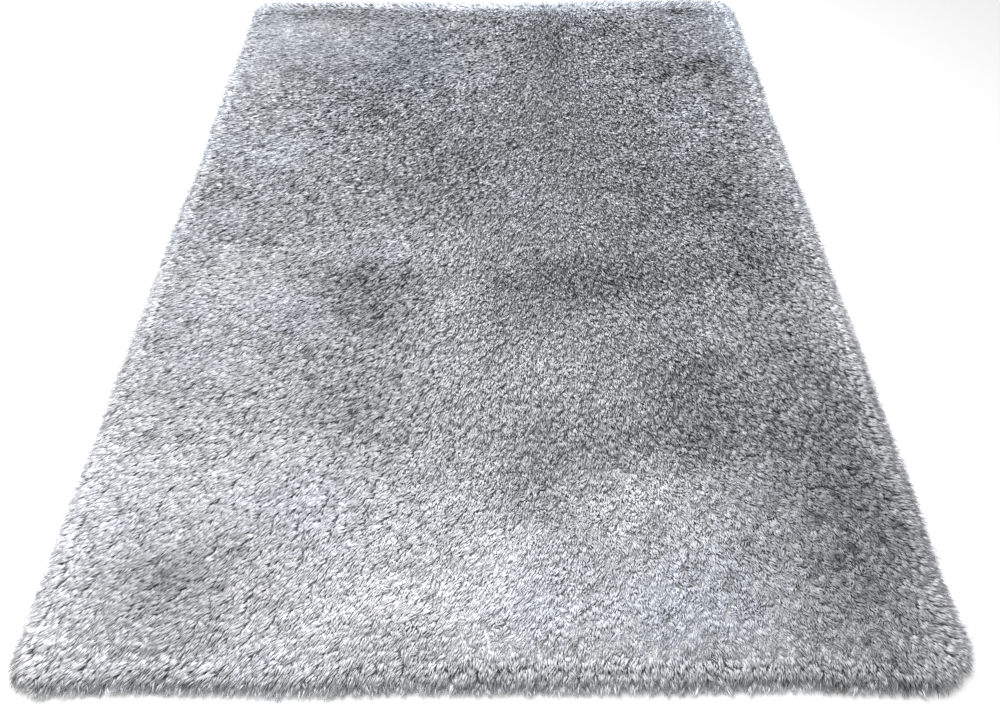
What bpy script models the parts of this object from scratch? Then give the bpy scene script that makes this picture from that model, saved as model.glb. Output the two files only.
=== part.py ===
"""A deep-pile shag rug lying flat on the floor, as one closed solid.

The rug is a lumpy slab of pile with a crowned rim. Its rim is two bands of
faces, and most of them are drawn out into locks, which stand apart but for
their roots. The lower locks lie on the floor and the upper ones droop over
them. Units are metres, +Z is up, and the floor is z = 0. The rug's length
runs along Y, and the origin is under the middle of the rug.
"""

import math
import random

import bmesh
import bpy
from mathutils import Vector, noise

# Driving dimensions, over the tips of the locks and the fullest lump.
RUG_WIDTH = 1.60
RUG_LENGTH = 2.30
RUG_HEIGHT = 0.050

# The slab ends short of the overall size by the reach of its locks.
PILE_HEIGHT = 0.045
LOCK_REACH = 0.039
HALF_WIDTH = RUG_WIDTH / 2 - LOCK_REACH
HALF_LENGTH = RUG_LENGTH / 2 - LOCK_REACH
CELL = 0.039

# The rim's heights above the floor, the width over which the pile rounds
# down to it, and how far its middle bulges out and its foot tucks back in.
RIM_TOP = 0.034
RIM_MIDDLE = 0.018
CROWN_WIDTH = 0.085
SIDE_BULGE = 0.006
FOOT_TUCK = 0.003

# Noise that makes the pile's surface and the outline uneven, and how far a
# single clump of pile strays from its place in the grid and from its height.
NOISES = {
    # name: (wavelength, depth, layer)
    "swell": (0.190, 0.0060, 0.4),
    "lump": (0.095, 0.0075, 4.4),
    "outline": (0.230, 0.0080, 8.4),
}
CLUMP_STRAY = 0.011
CLUMP_UNEVENNESS = 0.0042

# Places where the pile lies pressed down or stands fuller.
SWELLS = (
    # x, y, radius, rise
    (-0.42, -0.78, 0.30, 0.0030),
    (0.45, -0.62, 0.34, -0.0035),
    (0.10, -0.20, 0.26, 0.0025),
    (-0.50, 0.25, 0.30, -0.0025),
    (0.38, 0.40, 0.28, 0.0025),
    (-0.15, 0.78, 0.32, -0.0020),
)

# Each corner's radius, by the signs of its x and y. The near right corner
# is the softest.
CORNERS = {
    # (x sign, y sign): radius
    (-1, -1): 0.022,
    (1, -1): 0.050,
    (-1, 1): 0.020,
    (1, 1): 0.035,
}

# Some cells along the rim have no lock. The others carry one in the upper
# and in the lower band by turns.
BARE_SHARE = 0.24
UPPER_RINGS = (
    # share of length, share of root size, share of droop
    (0.32, 0.92, 0.10),
    (0.70, 0.66, 0.46),
    (1.00, 0.30, 1.00),
)
LOWER_RINGS = (
    (0.50, 0.80, 0.45),
    (1.00, 0.30, 1.00),
)
UPPER_TIP_HEIGHT = 0.0125
LOWER_TIP_HEIGHT = 0.0015
LENGTH_SPREAD = 0.30
SIDEWAYS_SPREAD = 0.34
SEED = 41

PILE_COLOUR = (0.53, 0.54, 0.56, 1.0)
PILE_ROUGHNESS = 0.62


def clear_scene():
    """Removes whatever the open file holds."""
    for obj in list(bpy.data.objects):
        bpy.data.objects.remove(obj, do_unlink=True)


def beyond_corner_centre(x, y):
    """How far a point lies past its corner's centre, and that corner's radius."""
    radius = CORNERS[(1 if x >= 0 else -1, 1 if y >= 0 else -1)]
    past_x = max(0.0, abs(x) - HALF_WIDTH + radius)
    past_y = max(0.0, abs(y) - HALF_LENGTH + radius)
    return past_x, past_y, radius


def outward(point):
    """The level direction that points out of the slab at a place on its rim."""
    past_x, past_y, _ = beyond_corner_centre(point.x, point.y)
    direction = Vector((math.copysign(past_x, point.x), math.copysign(past_y, point.y), 0.0))
    return direction.normalized()


def round_corner(x, y):
    """Moves a point of the square-cornered slab to its place in the round-cornered one."""
    past_x, past_y, radius = beyond_corner_centre(x, y)
    if past_x == 0 or past_y == 0:
        return x, y
    disc_x = past_x * math.sqrt(1 - (past_y / radius) ** 2 / 2)
    disc_y = past_y * math.sqrt(1 - (past_x / radius) ** 2 / 2)
    x = math.copysign(HALF_WIDTH - radius + disc_x, x)
    y = math.copysign(HALF_LENGTH - radius + disc_y, y)
    return x, y


def uneven(name, x, y):
    """One of the named noises, as a height or a distance at this place."""
    wavelength, depth, layer = NOISES[name]
    return depth * noise.noise(Vector((x / wavelength, y / wavelength, layer)))


def pile_surface(x, y):
    """The height of the pile at a place on the square-cornered slab."""
    inset = min(HALF_WIDTH - abs(x), HALF_LENGTH - abs(y))
    rounding = max(0.0, 1 - inset / CROWN_WIDTH) ** 2
    height = PILE_HEIGHT - (PILE_HEIGHT - RIM_TOP) * rounding
    height += (uneven("swell", x, y) + uneven("lump", x, y)) * (1 - rounding / 2)
    for centre_x, centre_y, radius, rise in SWELLS:
        distance = math.hypot(x - centre_x, y - centre_y) / radius
        height += rise * math.exp(-2 * distance**2)
    return height


def add_top(mesh, chance):
    """The pile's upper surface, a lumpy grid with finer cells along its edge."""
    across = round(2 * HALF_WIDTH / CELL)
    along = round(2 * HALF_LENGTH / CELL)
    bmesh.ops.create_grid(mesh, x_segments=across, y_segments=along, size=1.0)
    edge = [side for side in mesh.edges if side.is_boundary]
    bmesh.ops.subdivide_edges(mesh, edges=edge, cuts=1)
    for vert in mesh.verts:
        x = vert.co.x * HALF_WIDTH
        y = vert.co.y * HALF_LENGTH
        if not vert.is_boundary:
            x += chance.uniform(-CLUMP_STRAY, CLUMP_STRAY)
            y += chance.uniform(-CLUMP_STRAY, CLUMP_STRAY)
        height = pile_surface(x, y) + chance.uniform(-CLUMP_UNEVENNESS, CLUMP_UNEVENNESS)
        vert.co = (*round_corner(x, y), height)
        if vert.is_boundary:
            vert.co += outward(vert.co) * uneven("outline", x, y)


def add_band(mesh, height, shift):
    """Extrudes the open edge down to a height and out by a shift. Returns the band's faces."""
    edge = [side for side in mesh.edges if side.is_boundary]
    made = bmesh.ops.extrude_edge_only(mesh, edges=edge)["geom"]
    for vert in made:
        if isinstance(vert, bmesh.types.BMVert):
            vert.co += outward(vert.co) * shift
            vert.co.z = height
    return [face for face in made if isinstance(face, bmesh.types.BMFace)]


def add_underside(mesh):
    """Closes the slab with one flat face on the floor."""
    edge = [side for side in mesh.edges if side.is_boundary]
    bmesh.ops.contextual_create(mesh, geom=edge)
    bmesh.ops.recalc_face_normals(mesh, faces=mesh.faces)


def round_the_rim(faces):
    """A band's faces, in their order round the rug."""
    centres = {face: face.calc_center_median() for face in faces}
    return sorted(faces, key=lambda face: math.atan2(centres[face].y, centres[face].x))


def draw_lock(mesh, face, length, sideways, tip_height, rings):
    """Draws a four-sided lock out of one face of the rim, ring by ring, to a flat tip."""
    root = face.calc_center_median()
    out = outward(root)
    along = Vector((-out.y, out.x, 0.0))
    middle = root
    size = 1.0
    lies_on_floor = tip_height == LOWER_TIP_HEIGHT
    for length_share, ring_size, droop_share in rings:
        face = bmesh.ops.extrude_discrete_faces(mesh, faces=[face])["faces"][0]
        ring_middle = root + out * length * length_share
        ring_middle += along * sideways * length * length_share**2
        ring_middle.z -= (root.z - tip_height) * droop_share
        for vert in face.verts:
            arm = (vert.co - middle) * (ring_size / size)
            vert.co = ring_middle + arm
            if lies_on_floor and arm.z < 0:
                vert.co.z = 0.0
        middle = ring_middle
        size = ring_size
    steepest = sorted(face.edges, key=lambda side: abs(side.verts[0].co.z - side.verts[1].co.z))
    bmesh.ops.collapse(mesh, edges=steepest[2:])


def add_locks(mesh, upper_band, lower_band, chance):
    """Draws the locks out of both bands of the rim."""
    cells = list(zip(round_the_rim(upper_band), round_the_rim(lower_band)))
    bare = chance.sample(range(len(cells)), round(BARE_SHARE * len(cells)))
    for index, (upper_face, lower_face) in enumerate(cells):
        length = LOCK_REACH * (1 - chance.uniform(0, LENGTH_SPREAD))
        sideways = chance.uniform(-SIDEWAYS_SPREAD, SIDEWAYS_SPREAD)
        if index in bare:
            continue
        if index % 2:
            draw_lock(mesh, lower_face, length, sideways, LOWER_TIP_HEIGHT, LOWER_RINGS)
        else:
            draw_lock(mesh, upper_face, length, sideways, UPPER_TIP_HEIGHT, UPPER_RINGS)


def fit_overall_size(mesh):
    """Centres the rug and stretches it slightly, so that it has its overall size exactly."""
    lowest = Vector([min(vert.co[axis] for vert in mesh.verts) for axis in range(3)])
    highest = Vector([max(vert.co[axis] for vert in mesh.verts) for axis in range(3)])
    middle = (lowest + highest) / 2
    size = highest - lowest
    for vert in mesh.verts:
        vert.co.x = (vert.co.x - middle.x) * RUG_WIDTH / size.x
        vert.co.y = (vert.co.y - middle.y) * RUG_LENGTH / size.y
        vert.co.z = (vert.co.z - lowest.z) * RUG_HEIGHT / size.z


def pile_material():
    """Silvery grey synthetic pile."""
    material = bpy.data.materials.new("silver_grey_pile")
    material.use_nodes = True
    surface = material.node_tree.nodes["Principled BSDF"]
    surface.inputs["Base Color"].default_value = PILE_COLOUR
    surface.inputs["Roughness"].default_value = PILE_ROUGHNESS
    surface.inputs["Metallic"].default_value = 0.0
    return material


def shag_rug():
    """The whole rug, in the collection named for it."""
    chance = random.Random(SEED)
    mesh = bmesh.new()
    add_top(mesh, chance)
    upper_band = add_band(mesh, RIM_MIDDLE, SIDE_BULGE)
    lower_band = add_band(mesh, 0.0, -FOOT_TUCK)
    add_underside(mesh)
    add_locks(mesh, upper_band, lower_band, chance)
    fit_overall_size(mesh)

    data = bpy.data.meshes.new("shag_rug")
    mesh.to_mesh(data)
    mesh.free()
    data.materials.append(pile_material())
    collection = bpy.data.collections.new("shag_rug_parts")
    bpy.context.scene.collection.children.link(collection)
    rug = bpy.data.objects.new("shag_rug", data)
    collection.objects.link(rug)
    return rug


clear_scene()
shag_rug()
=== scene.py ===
import math

import bpy
import numpy as np
from mathutils import Matrix, Vector, noise
from mathutils.bvhtree import BVHTree
from mathutils.kdtree import KDTree


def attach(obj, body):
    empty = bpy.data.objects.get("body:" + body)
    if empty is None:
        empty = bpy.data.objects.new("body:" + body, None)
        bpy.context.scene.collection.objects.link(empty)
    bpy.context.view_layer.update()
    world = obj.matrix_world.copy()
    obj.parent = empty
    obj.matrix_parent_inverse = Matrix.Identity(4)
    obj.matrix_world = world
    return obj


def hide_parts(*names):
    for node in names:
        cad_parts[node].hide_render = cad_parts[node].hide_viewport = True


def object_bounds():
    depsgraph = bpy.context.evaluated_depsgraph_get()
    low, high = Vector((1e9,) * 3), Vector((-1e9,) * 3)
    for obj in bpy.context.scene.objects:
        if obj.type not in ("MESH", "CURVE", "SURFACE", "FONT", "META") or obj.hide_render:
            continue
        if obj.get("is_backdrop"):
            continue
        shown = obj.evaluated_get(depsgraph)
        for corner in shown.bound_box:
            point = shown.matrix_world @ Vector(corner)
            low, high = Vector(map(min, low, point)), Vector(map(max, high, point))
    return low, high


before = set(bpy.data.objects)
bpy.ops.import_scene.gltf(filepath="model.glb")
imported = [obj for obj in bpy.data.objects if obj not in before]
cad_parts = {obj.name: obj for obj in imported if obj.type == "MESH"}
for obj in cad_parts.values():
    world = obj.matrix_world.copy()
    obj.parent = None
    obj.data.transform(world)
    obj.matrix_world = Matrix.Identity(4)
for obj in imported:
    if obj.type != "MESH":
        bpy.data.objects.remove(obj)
cad_low, cad_high = (list(corner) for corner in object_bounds())


# ---------------------------------------------------------------- backing
# The backing is the woven cloth that the pile yarns are tufted into. It
# lies flat on the floor and ends a little inside the rim, which hides it.
# Only its underside shows, and only when the rug is turned over.

RIM_REACH = 0.039
HALF_WIDTH = cad_high[0] - RIM_REACH
HALF_LENGTH = cad_high[1] - RIM_REACH
BACKING_INSET = 0.010
BACKING_CORNER = 0.050
CORNER_SEGMENTS = 10
BACKING_THICKNESS = 0.0020
BACKING_LIFT = 0.0006
BACKING_SIZE = (2 * (HALF_WIDTH - BACKING_INSET), 2 * (HALF_LENGTH - BACKING_INSET))
THREADS_SCALE = 95.0
THREADS_SHOW = 0.65
THREADS_RELIEF = 0.0008
GLUE_BLOTCH_SCALE = 9.0
BACKING_DARK = (0.18, 0.17, 0.16, 1)
BACKING_PALE = (0.46, 0.44, 0.41, 1)


def plain_material(name, roughness, sheen):
    """A Principled material, its nodes, its links and its shader."""
    material = bpy.data.materials.new(name)
    material.use_nodes = True
    nodes = material.node_tree.nodes
    surface = nodes["Principled BSDF"]
    surface.inputs["Roughness"].default_value = roughness
    surface.inputs["Sheen Weight"].default_value = sheen
    return material, nodes, material.node_tree.links, surface


def start_modelling():
    """Leaves nothing selected, so that operators act on the new piece alone."""
    if bpy.context.mode != "OBJECT":
        bpy.ops.object.mode_set(mode="OBJECT")
    bpy.ops.object.select_all(action="DESELECT")


def apply_place():
    """Puts the new object's location and scale into its mesh."""
    bpy.ops.object.transform_apply(location=True, rotation=True, scale=True)


def make_backing():
    start_modelling()
    bpy.ops.mesh.primitive_plane_add(size=1, location=(0, 0, BACKING_LIFT))
    backing = bpy.context.object
    backing.name = "backing"
    backing.scale = (*BACKING_SIZE, 1)
    apply_place()
    bpy.ops.object.mode_set(mode="EDIT")
    bpy.ops.mesh.select_all(action="SELECT")
    bpy.ops.mesh.bevel(offset=BACKING_CORNER, segments=CORNER_SEGMENTS, affect="VERTICES")
    bpy.ops.mesh.extrude_region_move(TRANSFORM_OT_translate={"value": (0, 0, BACKING_THICKNESS)})
    bpy.ops.mesh.select_all(action="SELECT")
    bpy.ops.mesh.normals_make_consistent(inside=False)
    bpy.ops.object.mode_set(mode="OBJECT")
    return backing


def backing_material():
    """Plain weave of coarse undyed yarn, rubbed with a thin coat of glue."""
    material, nodes, links, surface = plain_material("backing_weave", roughness=0.85, sheen=0.1)
    place = nodes.new("ShaderNodeTexCoord")
    crossing = nodes.new("ShaderNodeMath")
    crossing.operation = "MULTIPLY"
    for number, direction in enumerate("XY"):
        threads = nodes.new("ShaderNodeTexWave")
        threads.bands_direction = direction
        threads.inputs["Scale"].default_value = THREADS_SCALE
        threads.inputs["Distortion"].default_value = 0.6
        threads.inputs["Detail"].default_value = 1.0
        links.new(place.outputs["Object"], threads.inputs["Vector"])
        links.new(threads.outputs["Fac"], crossing.inputs[number])
    blotch = nodes.new("ShaderNodeTexNoise")
    blotch.inputs["Scale"].default_value = GLUE_BLOTCH_SCALE
    blotch.inputs["Detail"].default_value = 6.0
    links.new(place.outputs["Object"], blotch.inputs["Vector"])
    tone = nodes.new("ShaderNodeMath")
    tone.operation = "MULTIPLY_ADD"
    tone.inputs[1].default_value = THREADS_SHOW
    links.new(crossing.outputs[0], tone.inputs[0])
    links.new(blotch.outputs["Fac"], tone.inputs[2])
    dye = nodes.new("ShaderNodeValToRGB")
    dye.color_ramp.elements[0].position = 0.35
    dye.color_ramp.elements[0].color = BACKING_DARK
    dye.color_ramp.elements[1].position = 1.0
    dye.color_ramp.elements[1].color = BACKING_PALE
    links.new(tone.outputs[0], dye.inputs["Fac"])
    links.new(dye.outputs["Color"], surface.inputs["Base Color"])
    bump = nodes.new("ShaderNodeBump")
    bump.inputs["Distance"].default_value = THREADS_RELIEF
    links.new(crossing.outputs[0], bump.inputs["Height"])
    links.new(bump.outputs["Normal"], surface.inputs["Normal"])
    return material


backing = make_backing()
backing.data.materials.append(backing_material())
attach(backing, "root")
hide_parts("shag_rug")


# --------------------------------------------------------------- pile bed
# The bed is the lower part of the pile, where the yarns stand so close that
# no gap shows between them. It is the mottled ground under the locks. Its dark
# colour is painted shade deep in the pile, and it takes on the pile's painted
# light and shade, lighter towards the near end and darker towards the far end.

# The slab's rim and outline, as the frame has them.
RIM_TOP = 0.034
LOWEST_SKIN = RIM_TOP / 2
SLAB_MARGIN = 0.002
CORNER_RADIUS = {
    # (x sign, y sign): radius
    (-1, -1): 0.022,
    (1, -1): 0.050,
    (-1, 1): 0.020,
    (1, 1): 0.035,
}
OUTLINE_WAVELENGTH = 0.230
OUTLINE_WANDER = 0.008
OUTLINE_LAYER = 8.4

# How far the bed lies below the pile's surface, how lumpy it is, and how light
# it is painted: dark as painted shade deep in the pile, with the glows as
# painted light at the near end and painted shade at the far end. Here and
# below, a pair whose name is in the plural holds the values at the rug's near
# end and at its far end.
BED_SEED = 11
BED_DEPTHS = (
    # y, depth
    (-1.11, 0.0120),
    (-0.45, 0.0175),
    (1.11, 0.0185),
)
BED_INSET = 0.004
BED_CELL = 0.0220
BED_STRAY = 0.3
BED_LUMP_RANGE = (-0.0040, 0.0024)
BED_FOOT = 0.003
BED_LOWEST = 0.008
GRID_EDGE = 0.999
BED_PALE = (0.66, 0.665, 0.675, 1)
BED_DARK = (0.28, 0.283, 0.29, 1)
BED_GLOWS = (0.35, -0.35)
YARN_ENDS_SCALE = 300.0
YARN_ENDS_RELIEF = 0.003

# The lie of the pile at places chosen over the rug, from its near end to its
# far end: the lean of the tips for each unit of height, how ruffled the pile
# is, from 0 for combed flat to 1, and its shade, a painted light and shade for
# how the pile lying that way catches the light.
LIE_OF_PILE = (
    # x, y, lean along X, lean along Y, ruffle, shade
    (-0.70, -1.00, -0.95, -1.85, 0.60, 0.04),
    (-0.35, -1.00, -0.75, -1.5, 0.55, 0.04),
    (0.00, -1.00, -0.4, -1.1, 0.50, -0.03),
    (0.35, -1.00, -0.1, -1.0, 0.50, 0.00),
    (0.70, -1.00, 0.15, -1.1, 0.40, 0.01),
    (-0.70, -0.40, -1.8, -1.7, 0.75, -0.16),
    (-0.35, -0.40, -0.9, -1.6, 0.80, -0.16),
    (0.00, -0.40, -0.3, -1.4, 1.00, 0.04),
    (0.35, -0.40, 0.05, -1.5, 0.96, 0.02),
    (0.70, -0.40, 0.4, -1.6, 0.82, 0.02),
    (-0.70, 0.30, -1.9, -1.6, 0.85, -0.20),
    (-0.35, 0.30, -1.1, -1.7, 1.00, -0.32),
    (0.00, 0.30, -0.6, -1.6, 1.00, -0.22),
    (0.35, 0.30, 0.2, -1.5, 0.95, -0.25),
    (0.70, 0.30, 0.9, -1.2, 0.85, -0.12),
    (-0.70, 0.95, -2.0, -1.8, 0.42, -0.24),
    (-0.35, 0.95, -1.7, -1.9, 0.56, -0.40),
    (0.00, 0.95, -1.3, -1.9, 0.80, -0.28),
    (0.35, 0.95, 0.9, -1.9, 0.80, -0.32),
    (0.70, 0.95, 1.7, -1.7, 0.60, -0.31),
)
LIE_BLEND = 0.24
LEAN_NOISES = (
    # wavelength, depth, layer along X, layer along Y
    (0.26, 0.30, 1.5, 3.5),
    (0.07, 0.20, 2.5, 4.5),
)

# Near the rim the pile turns outwards and gets ruffled, and a painted
# highlight makes it lighter, by an amount that differs from side to side:
# left, right, near and far.
RIM_LEAN = 1.7
STRONGEST_PULL = 2.7
RIM_PULL_WIDTH = 0.05
RIM_PULL_FALL = 1.5
RIM_RUFFLE = 0.60
EDGE_GLOWS = (0.16, 0.20, 0.00, 0.20)

# Patches where the pile, stroked one way or another, is painted lighter or
# darker as painted light and shade for how it catches the light, and cooler or
# warmer, and the slower changes of both over the whole rug, as random tone and tint.
PAINTED_LIGHT_AND_TINT_PATCHES = (
    # x, y, radius_x, radius_y, shade, tint
    (0.50, -1.12, 1.20, 0.05, 0.02, 0.0),
    (0.36, -1.00, 0.22, 0.12, 0.02, -0.4),
    (-0.06, -0.96, 0.18, 0.07, 0.18, 0.0),
    (-0.56, -0.95, 0.12, 0.10, -0.44, 0.0),
    (0.60, -0.95, 0.10, 0.08, -0.08, 0.0),
    (0.66, -0.80, 0.24, 0.36, -0.46, 0.0),
    (-0.40, -0.80, 0.12, 0.08, -0.14, 0.0),
    (0.30, -0.79, 0.16, 0.06, 0.16, 0.0),
    (0.08, -0.77, 0.07, 0.07, -0.26, 0.0),
    (0.12, -0.66, 0.12, 0.08, -0.22, 0.0),
    (-0.72, -0.66, 0.06, 0.08, 0.14, 0.0),
    (-0.40, -0.64, 0.10, 0.07, 0.06, 0.0),
    (0.36, -0.64, 0.15, 0.08, -0.32, 0.0),
    (-0.26, -0.58, 0.12, 0.12, -0.22, 0.0),
    (0.04, -0.52, 0.24, 0.12, 0.06, 0.3),
    (0.40, -0.49, 0.10, 0.08, -0.26, 0.0),
    (0.60, -0.42, 0.16, 0.12, -0.12, 0.0),
    (0.08, -0.34, 0.12, 0.06, -0.16, 0.0),
    (0.72, -0.33, 0.05, 0.08, 0.14, 0.0),
    (-0.26, -0.28, 0.14, 0.12, -0.26, 0.0),
    (-0.08, -0.24, 0.07, 0.12, 0.14, 0.0),
    (0.26, -0.20, 0.36, 0.10, -0.40, 0.2),
    (-0.32, -0.18, 0.12, 0.07, -0.16, 0.0),
    (0.60, -0.14, 0.12, 0.08, -0.12, 0.0),
    (-0.18, -0.05, 0.17, 0.09, 0.16, 0.0),
    (0.40, -0.03, 0.09, 0.06, -0.14, 0.0),
    (-0.56, -0.03, 0.10, 0.08, -0.12, 0.0),
    (0.66, 0.00, 0.10, 0.90, -0.19, 0.0),
    (-0.77, 0.00, 0.05, 1.10, 0.15, 0.0),
    (0.56, 0.06, 0.09, 0.16, -0.20, 0.0),
    (0.12, 0.08, 0.12, 0.12, 0.18, 0.0),
    (-0.72, 0.12, 0.08, 0.09, -0.20, 0.0),
    (0.40, 0.13, 0.10, 0.12, -0.16, 0.0),
    (-0.08, 0.27, 0.12, 0.10, -0.09, 0.0),
    (-0.56, 0.27, 0.10, 0.08, 0.14, 0.0),
    (0.72, 0.28, 0.05, 0.08, 0.16, 0.0),
    (-0.40, 0.56, 0.08, 0.10, -0.16, 0.0),
    (-0.56, 0.68, 0.12, 0.16, -0.18, 0.0),
    (0.54, 0.70, 0.16, 0.12, -0.28, 0.0),
    (-0.22, 0.76, 0.12, 0.22, -0.19, -0.5),
    (0.02, 0.84, 0.15, 0.12, -0.16, 0.0),
    (0.36, 0.90, 0.16, 0.08, -0.26, 0.0),
    (0.74, 0.90, 0.06, 0.30, 0.25, -0.3),
    (0.24, 1.04, 0.08, 0.06, 0.10, 0.0),
    (-0.14, 1.04, 0.14, 0.05, -0.12, 0.0),
    (-0.56, 1.06, 0.24, 0.07, -0.36, 0.0),
    (0.56, 1.06, 0.10, 0.05, -0.34, 0.0),
    (0.15, 1.13, 1.00, 0.05, 0.70, 0.0),
)
END_TINTS = (0.05, -0.55)
SHADE_NOISES = (
    # wavelength, depth, layer
    (0.19, 0.07, 6.5),
    (0.06, 0.05, 7.5),
)
TINT_NOISE = (0.16, 0.35, 9.5)

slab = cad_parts["shag_rug"]
slab_points = [slab.matrix_world @ vert.co for vert in slab.data.vertices]
slab_tree = BVHTree.FromPolygons(slab_points, [face.vertices[:] for face in slab.data.polygons])


def past_corner(x, y):
    """How far a point lies past its corner's centre along X and Y, and the radius."""
    radius = CORNER_RADIUS[(1 if x >= 0 else -1, 1 if y >= 0 else -1)]
    return abs(x) - HALF_WIDTH + radius, abs(y) - HALF_LENGTH + radius, radius


def smooth_noise(x, y, wavelength, layer):
    """Noise from -1 to 1 that changes over about one wavelength."""
    return noise.noise(Vector((x / wavelength, y / wavelength, layer)))


def inset_of(x, y):
    """How far inside the slab's outline a point is, or below zero outside it."""
    past_x, past_y, radius = past_corner(x, y)
    wander = OUTLINE_WANDER * smooth_noise(x, y, OUTLINE_WAVELENGTH, OUTLINE_LAYER)
    if past_x > 0 and past_y > 0:
        return radius - math.hypot(past_x, past_y) + wander
    return radius - max(past_x, past_y) + wander


def skin_height(x, y):
    """The height of the pile's surface, which rounds down to the floor past the edge."""
    inset = inset_of(x, y)
    if inset > SLAB_MARGIN:
        hit = slab_tree.ray_cast(Vector((x, y, 1.0)), Vector((0, 0, -1)))[0]
        if hit is not None and hit.z > LOWEST_SKIN:
            return hit.z
    beyond = min(1.0, max(0.0, -inset) / RIM_REACH)
    return RIM_TOP * math.sqrt(1 - beyond**2)


def round_corner(x, y, inset):
    """Moves a point of the square-cornered outline, drawn in by inset, to the rounded one."""
    past_x, past_y, radius = past_corner(x, y)
    past_x += inset
    past_y += inset
    if past_x <= 0 or past_y <= 0:
        return x, y
    disc_x = past_x * math.sqrt(max(0.0, 1 - (past_y / radius) ** 2 / 2))
    disc_y = past_y * math.sqrt(max(0.0, 1 - (past_x / radius) ** 2 / 2))
    x = math.copysign(HALF_WIDTH - inset - radius + disc_x, x)
    y = math.copysign(HALF_LENGTH - inset - radius + disc_y, y)
    return x, y


def outward(x, y):
    """The level direction out of the rug at a place near its rim."""
    past_x, past_y, _ = past_corner(x, y)
    if past_x > 0 and past_y > 0:
        size = math.hypot(past_x, past_y)
        return math.copysign(past_x / size, x), math.copysign(past_y / size, y)
    if past_x > past_y:
        return math.copysign(1.0, x), 0.0
    return 0.0, math.copysign(1.0, y)


def side_shares(out_x, out_y):
    """How much an outward direction faces left, right, near and far."""
    return np.maximum(0, [-out_x, out_x, -out_y, out_y])


def lie_of_pile(x, y):
    """The pile's lean along X and Y, its ruffle and its painted light and shade at a place."""
    distances = [math.hypot(x - row[0], y - row[1]) for row in LIE_OF_PILE]
    weights = [math.exp(-((distance / LIE_BLEND) ** 2)) for distance in distances]
    total = sum(weights)
    lean_x, lean_y, ruffle, shade = (
        sum(weight * row[column] for weight, row in zip(weights, LIE_OF_PILE)) / total
        for column in range(2, 6)
    )
    for wave, depth, layer_x, layer_y in LEAN_NOISES:
        lean_x += depth * smooth_noise(x, y, wave, layer_x)
        lean_y += depth * smooth_noise(x, y, wave, layer_y)
    edge = max(0.0, 1 - max(0.0, inset_of(x, y)) / RIM_PULL_WIDTH) ** RIM_PULL_FALL
    out_x, out_y = outward(x, y)
    pull = edge * min(STRONGEST_PULL, max(0.0, RIM_LEAN - lean_x * out_x - lean_y * out_y))
    ruffle += RIM_RUFFLE * edge * (1 - ruffle)
    # A painted highlight near the rim, different for each side.
    shade += edge * (EDGE_GLOWS @ side_shares(out_x, out_y))
    return lean_x + pull * out_x, lean_y + pull * out_y, ruffle, shade


def painted_light_and_tint(x, y):
    """Painted light and shade from the patches, random tone from slow noise, and tint, at a place.
    """
    shade = sum(depth * smooth_noise(x, y, wave, layer) for wave, depth, layer in SHADE_NOISES)
    wave, depth, layer = TINT_NOISE
    tint = np.interp(y, (-HALF_LENGTH, HALF_LENGTH), END_TINTS)
    tint += depth * smooth_noise(x, y, wave, layer)
    for centre_x, centre_y, radius_x, radius_y, patch_shade, patch_tint in PAINTED_LIGHT_AND_TINT_PATCHES:
        away = math.hypot((x - centre_x) / radius_x, (y - centre_y) / radius_y)
        shade += patch_shade * math.exp(-(away**2))
        tint += patch_tint * math.exp(-(away**2))
    return shade, tint


def along_rug(places, near_and_far):
    """A value for each place, between the near end's and the far end's."""
    return np.interp(places[:, 1], (-HALF_LENGTH, HALF_LENGTH), near_and_far)


def make_bed():
    start_modelling()
    across = round(2 * HALF_WIDTH / BED_CELL)
    along = round(2 * HALF_LENGTH / BED_CELL)
    bpy.ops.mesh.primitive_grid_add(x_subdivisions=across, y_subdivisions=along, size=2)
    bed = bpy.context.object
    bed.name = "pile_bed"
    rng = np.random.default_rng(BED_SEED)
    jitter = rng.uniform(-BED_STRAY, BED_STRAY, (len(bed.data.vertices), 2)) * BED_CELL
    lumps = rng.uniform(*BED_LUMP_RANGE, len(bed.data.vertices))
    depths = np.interp([vert.co.y * HALF_LENGTH for vert in bed.data.vertices], *zip(*BED_DEPTHS))
    for vert, (shift_x, shift_y), lump, depth in zip(bed.data.vertices, jitter, lumps, depths):
        x = vert.co.x * (HALF_WIDTH - BED_INSET)
        y = vert.co.y * (HALF_LENGTH - BED_INSET)
        if max(abs(vert.co.x), abs(vert.co.y)) < GRID_EDGE:
            x, y = x + shift_x, y + shift_y
        x, y = round_corner(x, y, BED_INSET)
        height = skin_height(x, y) - depth + lump
        vert.co = (x, y, max(BED_LOWEST, height))
    bpy.ops.object.mode_set(mode="EDIT")
    bpy.ops.mesh.select_all(action="DESELECT")
    bpy.ops.mesh.select_mode(type="EDGE")
    bpy.ops.mesh.select_non_manifold()
    bpy.ops.mesh.extrude_region_move()
    bpy.ops.transform.resize(value=(1, 1, 0), center_override=(0, 0, BED_FOOT))
    bpy.ops.mesh.edge_face_add()
    bpy.ops.mesh.select_all(action="SELECT")
    bpy.ops.mesh.normals_make_consistent(inside=False)
    bpy.ops.object.mode_set(mode="OBJECT")
    bpy.ops.object.shade_smooth()
    places = np.array([vert.co[:2] for vert in bed.data.vertices])
    # The pile's painted light and shade at each point, with the bed painted lighter towards the
    # near end and darker towards the far end.
    shade = [lie_of_pile(x, y)[3] + painted_light_and_tint(x, y)[0] for x, y in places]
    layer = bed.data.attributes.new("shade", "FLOAT", "POINT")
    layer.data.foreach_set("value", np.float32(shade + along_rug(places, BED_GLOWS)))
    return bed


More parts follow.
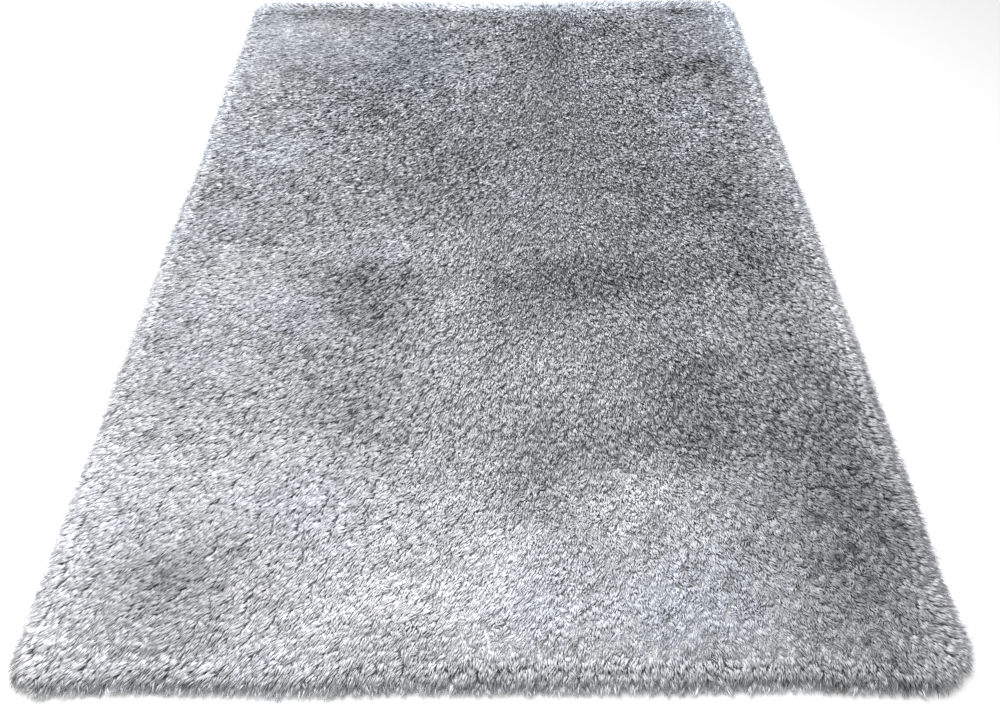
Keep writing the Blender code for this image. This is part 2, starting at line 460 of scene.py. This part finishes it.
def bed_material():
    """Dense yarn ends, mottled, kept dark as painted shade, and carrying the pile's painted light
    and shade.
    """
    material, nodes, links, surface = plain_material("pile_ground", roughness=0.8, sheen=0.0)
    place = nodes.new("ShaderNodeTexCoord")
    ends = nodes.new("ShaderNodeTexNoise")
    ends.inputs["Scale"].default_value = YARN_ENDS_SCALE
    ends.inputs["Detail"].default_value = 2.0
    links.new(place.outputs["Object"], ends.inputs["Vector"])
    dye = nodes.new("ShaderNodeValToRGB")
    dye.color_ramp.elements[0].position = 0.35
    dye.color_ramp.elements[0].color = BED_DARK
    dye.color_ramp.elements[1].position = 0.65
    dye.color_ramp.elements[1].color = BED_PALE
    links.new(ends.outputs["Fac"], dye.inputs["Fac"])
    shade = nodes.new("ShaderNodeAttribute")
    shade.attribute_name = "shade"
    strength = nodes.new("ShaderNodeMath")
    strength.operation = "ADD"
    strength.inputs[1].default_value = 1.0
    links.new(shade.outputs["Fac"], strength.inputs[0])
    shaded = nodes.new("ShaderNodeVectorMath")
    shaded.operation = "SCALE"
    links.new(dye.outputs["Color"], shaded.inputs[0])
    links.new(strength.outputs[0], shaded.inputs["Scale"])
    links.new(shaded.outputs[0], surface.inputs["Base Color"])
    bump = nodes.new("ShaderNodeBump")
    bump.inputs["Distance"].default_value = YARN_ENDS_RELIEF
    links.new(ends.outputs["Fac"], bump.inputs["Height"])
    links.new(bump.outputs["Normal"], surface.inputs["Normal"])
    return material


bed = make_bed()
bed.data.materials.append(bed_material())
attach(bed, "root")
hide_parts("shag_rug")


# ------------------------------------------------------------------- pile
# The pile is silky synthetic yarn, cut to about one length. Its strands rise
# from the bed, bend over the way they have been stroked, and draw together at
# their tips into soft locks. The outermost ones hang over the rim.

# Where the strands and the locks stand.
PILE_SEED = 5
PILE_PIECES = 5
STRAND_PITCHES = (0.00380, 0.00485)
LOCK_PITCH = 0.0140
GRID_STRAY = 0.42
PILE_OVERHANG = 0.015
OVERHANG_WANDER = 0.6
OVERHANG_WAVELENGTH = 0.035
OVERHANG_LAYER = 12.5

# One strand's form.
STRAND_BELLY = 0.5
STRAND_WIDTHS = (0.00150, 0.00108)
WIDTH_RANGE = (0.7, 1.4)
STRAND_FLATNESS = 0.35
STRAND_TURN = 0.4
STRAND_LENGTHS = (0.024, 0.027)
LENGTH_RANGE = (0.80, 1.15)
TALLEST_RISE = 0.021
ROOT_COVER = 0.004
LOWEST_POINT = 0.003
BEND_ALONG = 0.35
BEND_UP_FLAT = 1.15
BEND_UP_STEEP = 0.55

# How far tips sink below the pile's surface and are drawn to their lock's middle.
TIP_SINK_RANGE = (-0.0015, 0.0035)
LOCK_DRAW = 0.30
UPRIGHT_DRAW = 0.20
DRAW_RANGE = (0.5, 1.3)
LOCK_DOME = 0.0036
MOST_OFF_MIDDLE = 1.2
SUNKEN_SHARE = 0.12
SUNKEN_DEPTH = 0.0045
SHORT_SHARE = 0.25
SHORT_DEPTH = 0.0040

# How far locks and strands stray from the lie of the pile, across and along
# the rug, and from its shade as random tone. The edge, sunken and short
# shades are painted shade where locks part and where strands lie deeper.
NEAR_LEAN_SPREAD = np.array([0.28, 0.28])
FAR_LEAN_SPREAD = np.array([0.16, 0.08])
STRAND_LEAN_SPREAD = 0.20
LOCK_EDGE_SHADES = (-0.48, -0.14)
LOCK_SHADE_SPREADS = (0.09, 0.01)
STRAND_SHADE_SPREADS = (0.03, 0.52)
STRAND_TINT_SPREAD = 0.15
SUNKEN_SHADE = -0.10
SHORT_SHADE = -0.10

# The yarn. The root colour is painted shade deep in the pile; the tip colour is the yarn's own.
PILE_ROOT_PAINTED_SHADE = (0.36, 0.363, 0.37, 1)
PILE_TIP = (0.80, 0.805, 0.82, 1)
COOL_CAST = (0.92, 0.98, 1.08, 1)
WARM_CAST = (1.05, 1.01, 0.95, 1)
STREAK_STRETCH = (550, 45, 1)
STREAK_STEP = (0.37, 0.11)
STREAK_TONE_RANGE = (0.92, 1.08)
STREAK_ROUGHNESS_RANGE = (0.66, 0.46)
STREAK_RELIEF = 0.0003
CELL_SPREAD = 0.42
CELL_MARGIN = 0.04


def model_strand():
    """The points and the four faces of an arched blade, one unit long and two wide."""
    start_modelling()
    bpy.ops.mesh.primitive_cone_add(vertices=3, radius1=1, radius2=0, depth=1, location=(0, 0, 0.5))
    apply_place()
    strand = bpy.context.object
    for vert in strand.data.vertices:
        if vert.co.z > 0.5 or vert.co.y > 0:
            vert.co.xy = (0, 0)
        else:
            vert.co = (-math.copysign(1, vert.co.x), 1, STRAND_BELLY)
    points = np.array([vert.co[:] for vert in strand.data.vertices])
    faces = np.array([list(face.vertices) for face in strand.data.polygons])
    bpy.data.objects.remove(strand)
    return points, faces


def bake_cells(points, faces):
    """Where each corner of a strand's faces goes in its own small cell of the bake map.

    The two faces above make one half of the cell, and the two below the other.
    """
    cells = []
    for face in faces:
        below = np.count_nonzero(points[face, 0]) == 1
        across = 0.5 + CELL_SPREAD * points[face, 0]
        up = CELL_MARGIN + (1 - 2 * CELL_MARGIN) * points[face, 2]
        cells.append(np.stack([(below + across) / 2, up], 1))
    return np.concatenate(cells)


def volume_sign(places):
    """The sign of four-pointed strands' volume, which flips when they are turned inside out."""
    return np.sign(np.linalg.det(places[..., 1:, :] - places[..., :1, :]))


def lay_strands(name, strand, lines):
    """Lays one copy of the strand along each line, all joined in one object.

    Lines are arrays by name: the three control points of each curve, its
    half width, flatness and turn about itself, how much painted shade darkens
    its root, its shade, which holds painted light and shade and random tone,
    and its tint.
    """
    points, faces = strand
    count = len(lines["root"])
    share = points[:, 2][None, :, None]
    root, bend, tip = (lines[end][:, None, :] for end in ("root", "bend", "tip"))
    spine = (1 - share) ** 2 * root + 2 * share * (1 - share) * bend + share**2 * tip
    heading = 2 * (1 - share) * (bend - root) + 2 * share * (tip - bend)
    heading /= np.linalg.norm(heading, axis=2, keepdims=True)
    level = np.cross([0.0, 0.0, 1.0], heading)
    level /= np.maximum(np.linalg.norm(level, axis=2, keepdims=True), 1e-9)
    upper = np.cross(heading, level)
    turn = lines["turn"][:, None, None]
    side = np.cos(turn) * level + np.sin(turn) * upper
    face_up = np.cos(turn) * upper - np.sin(turn) * level
    half_width = lines["width"][:, None, None]
    half_depth = half_width * lines["flatness"][:, None, None]
    arm = side * half_width * points[:, :1]
    places = spine + face_up * half_depth * points[:, 1:2]
    arm[volume_sign(places + arm) != volume_sign(points)] *= -1
    places += arm

    mesh = bpy.data.meshes.new(name)
    corners = faces.ravel()
    mesh.vertices.add(count * len(points))
    mesh.vertices.foreach_set("co", places.astype(np.float32).ravel())
    mesh.loops.add(count * len(corners))
    loop_verts = corners[None, :] + np.arange(count)[:, None] * len(points)
    mesh.loops.foreach_set("vertex_index", loop_verts.astype(np.int32).ravel())
    mesh.polygons.add(count * len(faces))
    mesh.polygons.foreach_set("loop_start", np.arange(0, count * len(corners), 3, dtype=np.int32))
    mesh.update(calc_edges=True)

    for attribute, values in (
        # Exposure darkens each strand towards its root, as painted shade deep in the pile.
        ("exposure", (1 - (1 - points[:, 2]) * lines["root_painted_shade"][:, None]).ravel()),
        ("shade", np.repeat(lines["shade"], len(points))),
        ("tint", np.repeat(lines["tint"], len(points))),
    ):
        layer = mesh.attributes.new(attribute, "FLOAT", "POINT")
        layer.data.foreach_set("value", values.astype(np.float32))

    columns = math.ceil(math.sqrt(count))
    index = np.arange(count)
    cell = np.stack([index % columns, index // columns], 1)
    bake = (cell[:, None, :] + bake_cells(points, faces)[None, :, :]) / columns
    bake_map = mesh.uv_layers.new(name="OFBake")
    bake_map.data.foreach_set("uv", bake.astype(np.float32).ravel())
    reach = np.linalg.norm(lines["tip"] - lines["root"], axis=1)
    fibre = np.empty((count, len(corners), 2))
    fibre[:, :, 0] = points[corners, 0] * lines["width"][:, None]
    fibre[:, :, 1] = points[corners, 2] * reach[:, None]
    fibre += index[:, None, None] * STREAK_STEP
    fibre_map = mesh.uv_layers.new(name="fibre")
    fibre_map.data.foreach_set("uv", fibre.astype(np.float32).ravel())

    piece = bpy.data.objects.new(name, mesh)
    bpy.context.scene.collection.objects.link(piece)
    return piece


def jittered_grid(rng, pitches, overhang):
    """Places about one pitch apart all over the slab and a little past its edge.

    The pitch changes evenly from the near end's to the far end's.
    """
    places = []
    half_width = HALF_WIDTH + overhang
    row_y = -HALF_LENGTH - overhang
    row = 0
    while row_y < HALF_LENGTH + overhang:
        pitch = np.interp(row_y, (-HALF_LENGTH, HALF_LENGTH), pitches)
        row_pitch = pitch * math.sqrt(3) / 2
        for column in range(int(2 * half_width / pitch) + 1):
            offset = 0.5 * (row % 2) + rng.uniform(-GRID_STRAY, GRID_STRAY)
            x = (column + offset) * pitch - half_width
            y = rng.uniform(-GRID_STRAY, GRID_STRAY) * row_pitch + row_y
            wander = OVERHANG_WANDER * smooth_noise(x, y, OVERHANG_WAVELENGTH, OVERHANG_LAYER)
            if inset_of(x, y) > -overhang * (1 + wander):
                places.append((x, y))
        row_y += row_pitch
        row += 1
    return np.array(places)


def nearest(places, others):
    """For each place, the number of the nearest of the others."""
    tree = KDTree(len(others))
    for number, (x, y) in enumerate(others):
        tree.insert((x, y, 0), number)
    tree.balance()
    return np.array([tree.find((x, y, 0))[1] for x, y in places])


def skin_heights(places):
    return np.array([skin_height(x, y) for x, y in places])


def rise_and_bend(root_xy, tip_xy, tip_z, rise, steepness):
    """Each strand's three control points. It bends over most where the pile lies flat."""
    root_z = np.maximum(skin_heights(root_xy) - rise - ROOT_COVER, LOWEST_POINT)
    root = np.column_stack([root_xy, root_z])
    tip = np.column_stack([tip_xy, np.maximum(tip_z, LOWEST_POINT)])
    bend = root + BEND_ALONG * (tip - root)
    bend_up = BEND_UP_FLAT + (BEND_UP_STEEP - BEND_UP_FLAT) * steepness
    bend[:, 2] = root_z + (tip[:, 2] - root_z) * bend_up
    return {"root": root, "bend": bend, "tip": tip}


def make_pile(strand):
    rng = np.random.default_rng(PILE_SEED)
    locks = jittered_grid(rng, (LOCK_PITCH, LOCK_PITCH), 2 * LOCK_PITCH)
    lie = np.array([lie_of_pile(x, y) for x, y in locks])
    far = along_rug(locks, (0, 1))[:, None]
    spread = NEAR_LEAN_SPREAD * (1 - far) + FAR_LEAN_SPREAD * far
    lock_lean = lie[:, :2] + spread * rng.normal(0, 1, (len(locks), 2))
    lock_ruffle = lie[:, 2]
    # Each lock's painted light and shade from the patches and the lie, a random tone, and painted
    # shade on sunken locks.
    lock_shade, lock_tint = np.array([painted_light_and_tint(x, y) for x, y in locks]).T
    sunken = rng.random(len(locks)) < SUNKEN_SHARE
    lock_shade += lie[:, 3] + along_rug(locks, LOCK_SHADE_SPREADS) * rng.normal(0, 1, len(locks))
    lock_shade += SUNKEN_SHADE * sunken * lock_ruffle

    places = jittered_grid(rng, STRAND_PITCHES, PILE_OVERHANG)
    count = len(places)
    owner = nearest(places, locks)
    ruffle = lock_ruffle[owner]
    short = rng.random(count) < SHORT_SHARE
    lean = (STRAND_LEAN_SPREAD * ruffle)[:, None] * rng.normal(0, 1, (count, 2))
    lean += lock_lean[owner]
    steepness = 1 / np.sqrt(1 + (lean**2).sum(1))
    length = along_rug(places, STRAND_LENGTHS) * rng.uniform(*LENGTH_RANGE, count)
    rise = np.minimum(TALLEST_RISE, length * steepness)
    draw = (LOCK_DRAW + UPRIGHT_DRAW * steepness**2) * rng.uniform(*DRAW_RANGE, count) * ruffle
    to_middle = locks[owner] - places
    tip_xy = places + lean * rise[:, None] + to_middle * draw[:, None]
    off_middle = np.minimum(MOST_OFF_MIDDLE, 2 * np.hypot(*to_middle.T) / LOCK_PITCH)
    sink = LOCK_DOME * off_middle**2 + SUNKEN_DEPTH * sunken[owner] + SHORT_DEPTH * short
    sink += rng.uniform(*TIP_SINK_RANGE, count)
    tip_z = skin_heights(tip_xy) - sink * ruffle
    # Painted shade where locks part and on short strands, which lie deeper, and a random tone for
    # each strand.
    edge_shade = along_rug(places, LOCK_EDGE_SHADES) * off_middle**2
    shade = lock_shade[owner] + edge_shade * ruffle * steepness
    shade += SHORT_SHADE * short * ruffle
    shade += along_rug(places, STRAND_SHADE_SPREADS) * ruffle * rng.normal(0, 1, count)
    lines = rise_and_bend(places, tip_xy, tip_z, rise, steepness) | {
        "width": along_rug(places, STRAND_WIDTHS) * rng.uniform(*WIDTH_RANGE, count),
        "flatness": np.full(count, STRAND_FLATNESS),
        "turn": STRAND_TURN * ruffle * rng.normal(0, 1, count),
        "root_painted_shade": ruffle**3,
        "shade": shade,
        "tint": lock_tint[owner] + rng.normal(0, STRAND_TINT_SPREAD, count),
    }
    order = np.argsort(lines["root"][:, 1], kind="stable")
    pieces = []
    for number, part in enumerate(np.array_split(order, PILE_PIECES)):
        chosen = {name: values[part] for name, values in lines.items()}
        pieces.append(lay_strands(f"pile_{number + 1}", strand, chosen))
    return pieces


def yarn_group():
    """The silky yarn: painted shade darkens it towards its roots, light at its tips, streaked along
    its length.

    Inputs 6 and 7 and output 2 of each Mix node are its colours.
    """
    group = bpy.data.node_groups.new("silky_yarn", "ShaderNodeTree")
    for name, kind in (
        ("Root colour", "NodeSocketColor"),
        ("Tip colour", "NodeSocketColor"),
        ("Exposure", "NodeSocketFloat"),
        ("Shade", "NodeSocketFloat"),
        ("Tint", "NodeSocketFloat"),
        ("Fibre", "NodeSocketVector"),
    ):
        group.interface.new_socket(name, in_out="INPUT", socket_type=kind)
    for name, kind in (
        ("Colour", "NodeSocketColor"),
        ("Roughness", "NodeSocketFloat"),
        ("Height", "NodeSocketFloat"),
    ):
        group.interface.new_socket(name, in_out="OUTPUT", socket_type=kind)
    nodes, links = group.nodes, group.links
    given = nodes.new("NodeGroupInput")
    result = nodes.new("NodeGroupOutput")

    rise = nodes.new("ShaderNodeMapRange")
    rise.interpolation_type = "SMOOTHSTEP"
    rise.inputs["From Min"].default_value = 0.15
    rise.inputs["From Max"].default_value = 1.0
    links.new(given.outputs["Exposure"], rise.inputs["Value"])
    ground = nodes.new("ShaderNodeMix")
    ground.data_type = "RGBA"
    links.new(rise.outputs["Result"], ground.inputs["Factor"])
    links.new(given.outputs["Root colour"], ground.inputs[6])
    links.new(given.outputs["Tip colour"], ground.inputs[7])

    stretch = nodes.new("ShaderNodeMapping")
    stretch.inputs["Scale"].default_value = STREAK_STRETCH
    links.new(given.outputs["Fibre"], stretch.inputs["Vector"])
    streak = nodes.new("ShaderNodeTexNoise")
    streak.inputs["Scale"].default_value = 1.0
    streak.inputs["Detail"].default_value = 2.0
    links.new(stretch.outputs["Vector"], streak.inputs["Vector"])
    streak_tone = nodes.new("ShaderNodeMapRange")
    streak_tone.inputs["From Min"].default_value = 0.25
    streak_tone.inputs["From Max"].default_value = 0.75
    streak_tone.inputs["To Min"].default_value = STREAK_TONE_RANGE[0]
    streak_tone.inputs["To Max"].default_value = STREAK_TONE_RANGE[1]
    links.new(streak.outputs["Fac"], streak_tone.inputs["Value"])

    strength = nodes.new("ShaderNodeMath")
    strength.operation = "ADD"
    links.new(given.outputs["Shade"], strength.inputs[0])
    links.new(streak_tone.outputs["Result"], strength.inputs[1])
    shaded = nodes.new("ShaderNodeVectorMath")
    shaded.operation = "SCALE"
    links.new(ground.outputs[2], shaded.inputs[0])
    links.new(strength.outputs[0], shaded.inputs["Scale"])

    cast = nodes.new("ShaderNodeMapRange")
    cast.inputs["From Min"].default_value = -1.0
    cast.inputs["From Max"].default_value = 1.0
    links.new(given.outputs["Tint"], cast.inputs["Value"])
    tinting = nodes.new("ShaderNodeMix")
    tinting.data_type = "RGBA"
    tinting.inputs[6].default_value = COOL_CAST
    tinting.inputs[7].default_value = WARM_CAST
    links.new(cast.outputs["Result"], tinting.inputs["Factor"])
    dyed = nodes.new("ShaderNodeMix")
    dyed.data_type = "RGBA"
    dyed.blend_type = "MULTIPLY"
    dyed.inputs["Factor"].default_value = 1.0
    links.new(shaded.outputs[0], dyed.inputs[6])
    links.new(tinting.outputs[2], dyed.inputs[7])

    rough = nodes.new("ShaderNodeMapRange")
    rough.inputs["To Min"].default_value = STREAK_ROUGHNESS_RANGE[0]
    rough.inputs["To Max"].default_value = STREAK_ROUGHNESS_RANGE[1]
    links.new(streak.outputs["Fac"], rough.inputs["Value"])
    links.new(dyed.outputs[2], result.inputs["Colour"])
    links.new(rough.outputs["Result"], result.inputs["Roughness"])
    links.new(streak.outputs["Fac"], result.inputs["Height"])
    return group


def yarn_material(name, root_colour, tip_colour):
    """Silky yarn whose painted light and shade, random tone and tint the strands carry as
    attributes.
    """
    material, nodes, links, surface = plain_material(name, roughness=0.5, sheen=0.05)
    surface.inputs["Sheen Roughness"].default_value = 0.4
    surface.inputs["Specular IOR Level"].default_value = 0.25
    yarn = nodes.new("ShaderNodeGroup")
    yarn.node_tree = silky_yarn
    yarn.inputs["Root colour"].default_value = root_colour
    yarn.inputs["Tip colour"].default_value = tip_colour
    for socket in ("Exposure", "Shade", "Tint"):
        reader = nodes.new("ShaderNodeAttribute")
        reader.attribute_name = socket.lower()
        links.new(reader.outputs["Fac"], yarn.inputs[socket])
    fibre = nodes.new("ShaderNodeUVMap")
    fibre.uv_map = "fibre"
    links.new(fibre.outputs["UV"], yarn.inputs["Fibre"])
    links.new(yarn.outputs["Colour"], surface.inputs["Base Color"])
    links.new(yarn.outputs["Roughness"], surface.inputs["Roughness"])
    bump = nodes.new("ShaderNodeBump")
    bump.inputs["Distance"].default_value = STREAK_RELIEF
    bump.inputs["Strength"].default_value = 0.6
    links.new(yarn.outputs["Height"], bump.inputs["Height"])
    links.new(bump.outputs["Normal"], surface.inputs["Normal"])
    return material


strand = model_strand()
silky_yarn = yarn_group()
pile_pieces = make_pile(strand)
pile_yarn = yarn_material("silver_pile", PILE_ROOT_PAINTED_SHADE, PILE_TIP)
for piece in pile_pieces:
    piece.data.materials.append(pile_yarn)
    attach(piece, "root")
    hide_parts("shag_rug")


# -------------------------------------------------------------- rim locks
# At the cut edge nothing holds the pile up, so its strands fan out from the
# backing's edge, the lowest ones down to the floor. They round the rug's
# side off into a soft roll under the pile that hangs over it.

# How the strands stand on the roll. Angles up the roll are in degrees.
RIM_SEED = 8
RIM_PITCH = 0.0040
RIM_ROWS = 8
RIM_STRAND_WIDTH = 0.0011
RIM_STRAND_TURN = 0.3
RIM_DEPTH = 0.050
RIM_INSET = 0.008
RIM_STEEPEST = 50
RIM_ROOT_SHARE = 0.50
RIM_BEND_SHARE = 0.88
RIM_ROOT_ABOVE = 0.60
RIM_DRAW = 0.32
RIM_DOME = 0.07
RIM_UNEVENNESS = 0.24
RIM_TAPER = 0.12
RIM_TRAIL = 0.40
RIM_LOCK_TRAIL = 0.35
RIM_STRAND_TRAIL = 0.30
MOST_TRAIL = 0.8
ROOT_TRAIL = 0.02
BEND_TRAIL = 0.01
CORNER_TUCK = 0.14
STRAY_SHARE = 0.14
STRAY_REACH = 0.12
STRAY_THINNING = 0.4

# How light and dark they are. The lock shade is a random tone and the edge
# shade is painted shade where locks part. The glows are painted highlights of
# the left, right, near and far sides at the foot of the roll, and the band is a
# painted shadow along the near side.
RIM_LOCK_SHADE = 0.15
RIM_EDGE_SHADE = -0.32
RIM_GLOWS = (0.85, 1.05, 0.36, 0.30)
NEAR_BAND_SHADE = -0.40
NEAR_BAND_ANGLE = 28
NEAR_BAND_WANDER = 9
NEAR_BAND_WIDTH = 12


def rim_outline(spacing):
    """Points round the slab's outline, evenly spaced, each with its outward direction."""
    found = []
    corners = ((1, 1, 0), (-1, 1, 90), (-1, -1, 180), (1, -1, 270))
    for number, (sign_x, sign_y, start) in enumerate(corners):
        radius = CORNER_RADIUS[(sign_x, sign_y)]
        centre = np.array([sign_x * (HALF_WIDTH - radius), sign_y * (HALF_LENGTH - radius)])
        steps = max(2, round(radius * math.pi / 2 / spacing))
        for angle in np.radians(start + 90 * np.arange(steps) / steps):
            direction = np.array([math.cos(angle), math.sin(angle)])
            found.append((centre + direction * radius, direction))
        next_x, next_y, _ = corners[(number + 1) % 4]
        next_radius = CORNER_RADIUS[(next_x, next_y)]
        angle = math.radians(start + 90)
        direction = np.array([math.cos(angle), math.sin(angle)])
        first = centre + direction * radius
        last = np.array([next_x * (HALF_WIDTH - next_radius), next_y * (HALF_LENGTH - next_radius)])
        last += direction * next_radius
        steps = round(np.linalg.norm(last - first) / spacing)
        for share in np.arange(steps) / steps:
            found.append((first + (last - first) * share, direction))
    points = np.array([point for point, _ in found])
    directions = np.array([direction for _, direction in found])
    wander = np.array([inset_of(x, y) for x, y in points])
    return points + directions * wander[:, None], directions


def make_rim(strand):
    """Strands whose tips cover the roll from the floor up to the top of the pile.

    A place on the roll is its distance round the rug and its distance up the roll.
    """
    rng = np.random.default_rng(RIM_SEED)
    outline, directions = rim_outline(RIM_PITCH)
    roll = RIM_TOP * math.radians(RIM_STEEPEST)
    row_pitch = roll / RIM_ROWS
    columns = len(outline)
    grid = np.indices((columns, RIM_ROWS)).reshape(2, -1).T
    count = len(grid)
    places = (grid + [0.0, 0.5] + rng.uniform(-0.5, 0.5, (count, 2))) * [RIM_PITCH, row_pitch]
    lock_counts = (round(columns * RIM_PITCH / LOCK_PITCH), round(roll / LOCK_PITCH) + 1)
    locks = np.indices(lock_counts).reshape(2, -1).T * LOCK_PITCH
    locks = locks + rng.uniform(-GRID_STRAY, GRID_STRAY, locks.shape) * LOCK_PITCH
    owner = nearest(places, locks)
    to_middle = locks[owner] - places
    off_middle = np.minimum(MOST_OFF_MIDDLE, 2 * np.hypot(*to_middle.T) / LOCK_PITCH)
    tips = places + to_middle * (RIM_DRAW * rng.uniform(*DRAW_RANGE, count))[:, None]

    column = grid[:, 0]
    out = directions[column]
    sideways = np.column_stack([-out[:, 1], out[:, 0]])
    lie = np.array([lie_of_pile(x, y) for x, y in outline])[column]
    trail = RIM_TRAIL * (lie[:, :2] * sideways).sum(1)
    trail += rng.normal(0, RIM_LOCK_TRAIL, len(locks))[owner]
    trail = np.clip(trail + rng.normal(0, RIM_STRAND_TRAIL, count), -MOST_TRAIL, MOST_TRAIL)

    def on_roll(up, depth_share, shift):
        angle = np.clip(up, 0, None) / RIM_TOP
        level = outline[column] + sideways * shift[:, None]
        level = level + out * (depth_share * RIM_DEPTH * np.cos(angle) - RIM_INSET)[:, None]
        height = LOWEST_POINT + depth_share * (RIM_TOP - LOWEST_POINT) * np.sin(angle)
        return np.column_stack([level, height])

    fullness = 1 - RIM_DOME * off_middle**2 - RIM_TAPER * (tips[:, 1] / roll) ** 2
    fullness -= RIM_UNEVENNESS * rng.uniform(0, 1, count) ** 2
    stray = rng.random(count) < STRAY_SHARE
    fullness += STRAY_REACH * stray - CORNER_TUCK * 2 * np.abs(out[:, 0] * out[:, 1])
    along = tips[:, 0] - column * RIM_PITCH
    tip = on_roll(tips[:, 1], fullness, along)
    above = RIM_ROOT_ABOVE * RIM_TOP
    root = on_roll(tips[:, 1] + above, RIM_ROOT_SHARE * fullness, along - ROOT_TRAIL * trail)
    bend = on_roll(tips[:, 1] + above / 2, RIM_BEND_SHARE * fullness, along - BEND_TRAIL * trail)
    # Painted light and shade of the patches and the lie, a random tone for each lock and each
    # strand, and painted shade where locks part.
    shade, tint = np.array([painted_light_and_tint(x, y) for x, y in outline])[column].T
    shade += lie[:, 3] + RIM_LOCK_SHADE * rng.normal(0, 1, len(locks))[owner]
    shade += RIM_EDGE_SHADE * off_middle**2
    spread = along_rug(outline, STRAND_SHADE_SPREADS)[column] * lie[:, 2]
    shade += spread * rng.normal(0, 1, count)
    # Painted highlights, strongest at the foot of the roll, and a painted shadow in a band along
    # the near side.
    sides = side_shares(*out.T)
    angle = np.degrees(tips[:, 1] / RIM_TOP)
    shade += RIM_GLOWS @ sides * (1 - angle / RIM_STEEPEST)
    angle += NEAR_BAND_WANDER * rng.normal(0, 1, len(locks))[owner]
    off_band = (angle - NEAR_BAND_ANGLE) / NEAR_BAND_WIDTH
    shade += NEAR_BAND_SHADE * sides[2] * np.exp(-(off_band**2))
    width = RIM_STRAND_WIDTH * (1 - STRAY_THINNING * stray)
    lines = {
        "root": root,
        "bend": bend,
        "tip": tip,
        "width": width * rng.uniform(*WIDTH_RANGE, count),
        "flatness": np.full(count, STRAND_FLATNESS),
        "turn": rng.normal(0, RIM_STRAND_TURN, count),
        "root_painted_shade": lie[:, 2] ** 3,
        "shade": shade,
        "tint": tint + rng.normal(0, STRAND_TINT_SPREAD, count),
    }
    return lay_strands("rim_locks", strand, lines)


rim = make_rim(strand)
rim.data.materials.append(pile_yarn)
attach(rim, "root")
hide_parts("shag_rug")


# -------------------------------------------------- floor, light and camera
# A plain pale studio floor, one large soft light overhead and to the left,
# and a phone's camera held at standing height at the rug's near end.

CAMERA_PLACE = (0.015, -1.633, 1.402)
CAMERA_LENS = 30.7
CAMERA_PITCH = 48.83
CAMERA_YAW = -0.02
CAMERA_ROLL = -0.31
FLOOR_COLOUR = (0.86, 0.86, 0.86, 1)
FLOOR_SIZE = 80
FLOOR_DROP = 0.0005
LAMP_PLACE = (-0.8, -0.2, 3.0)
LAMP_TARGET = (0, -0.1, 0)
LAMP_SIZE = 2.6
LAMP_POWER = 130
SKY_STRENGTH = 0.55


def make_floor():
    start_modelling()
    bpy.ops.mesh.primitive_plane_add(size=FLOOR_SIZE, location=(0, 0, -FLOOR_DROP))
    floor = bpy.context.object
    floor.name = "floor"
    apply_place()
    material, _, _, surface = plain_material("studio_floor", roughness=0.9, sheen=0.0)
    surface.inputs["Base Color"].default_value = FLOOR_COLOUR
    floor.data.materials.append(material)
    floor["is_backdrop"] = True


def make_light():
    light = bpy.data.lights.new("overhead", "AREA")
    light.size = LAMP_SIZE
    light.energy = LAMP_POWER
    lamp = bpy.data.objects.new("overhead", light)
    lamp.location = LAMP_PLACE
    lamp.rotation_euler = (Vector(LAMP_TARGET) - lamp.location).to_track_quat("-Z", "Y").to_euler()
    bpy.context.scene.collection.objects.link(lamp)


def make_camera():
    data = bpy.data.cameras.new("camera")
    data.lens = CAMERA_LENS
    camera = bpy.data.objects.new("camera", data)
    camera.location = CAMERA_PLACE
    turn = Matrix.Rotation(math.radians(-CAMERA_YAW), 3, "Z")
    tilt = Matrix.Rotation(math.radians(90 - CAMERA_PITCH), 3, "X")
    roll = Matrix.Rotation(math.radians(CAMERA_ROLL), 3, "Z")
    camera.rotation_euler = (turn @ tilt @ roll).to_euler()
    bpy.context.scene.collection.objects.link(camera)
    bpy.context.scene.camera = camera


def make_world():
    world = bpy.data.worlds.new("studio")
    world.use_nodes = True
    background = world.node_tree.nodes["Background"]
    background.inputs["Color"].default_value = (1, 1, 1, 1)
    background.inputs["Strength"].default_value = SKY_STRENGTH
    bpy.context.scene.world = world


make_floor()
make_light()
make_camera()
make_world()
bpy.context.scene.view_settings.view_transform = "Standard"
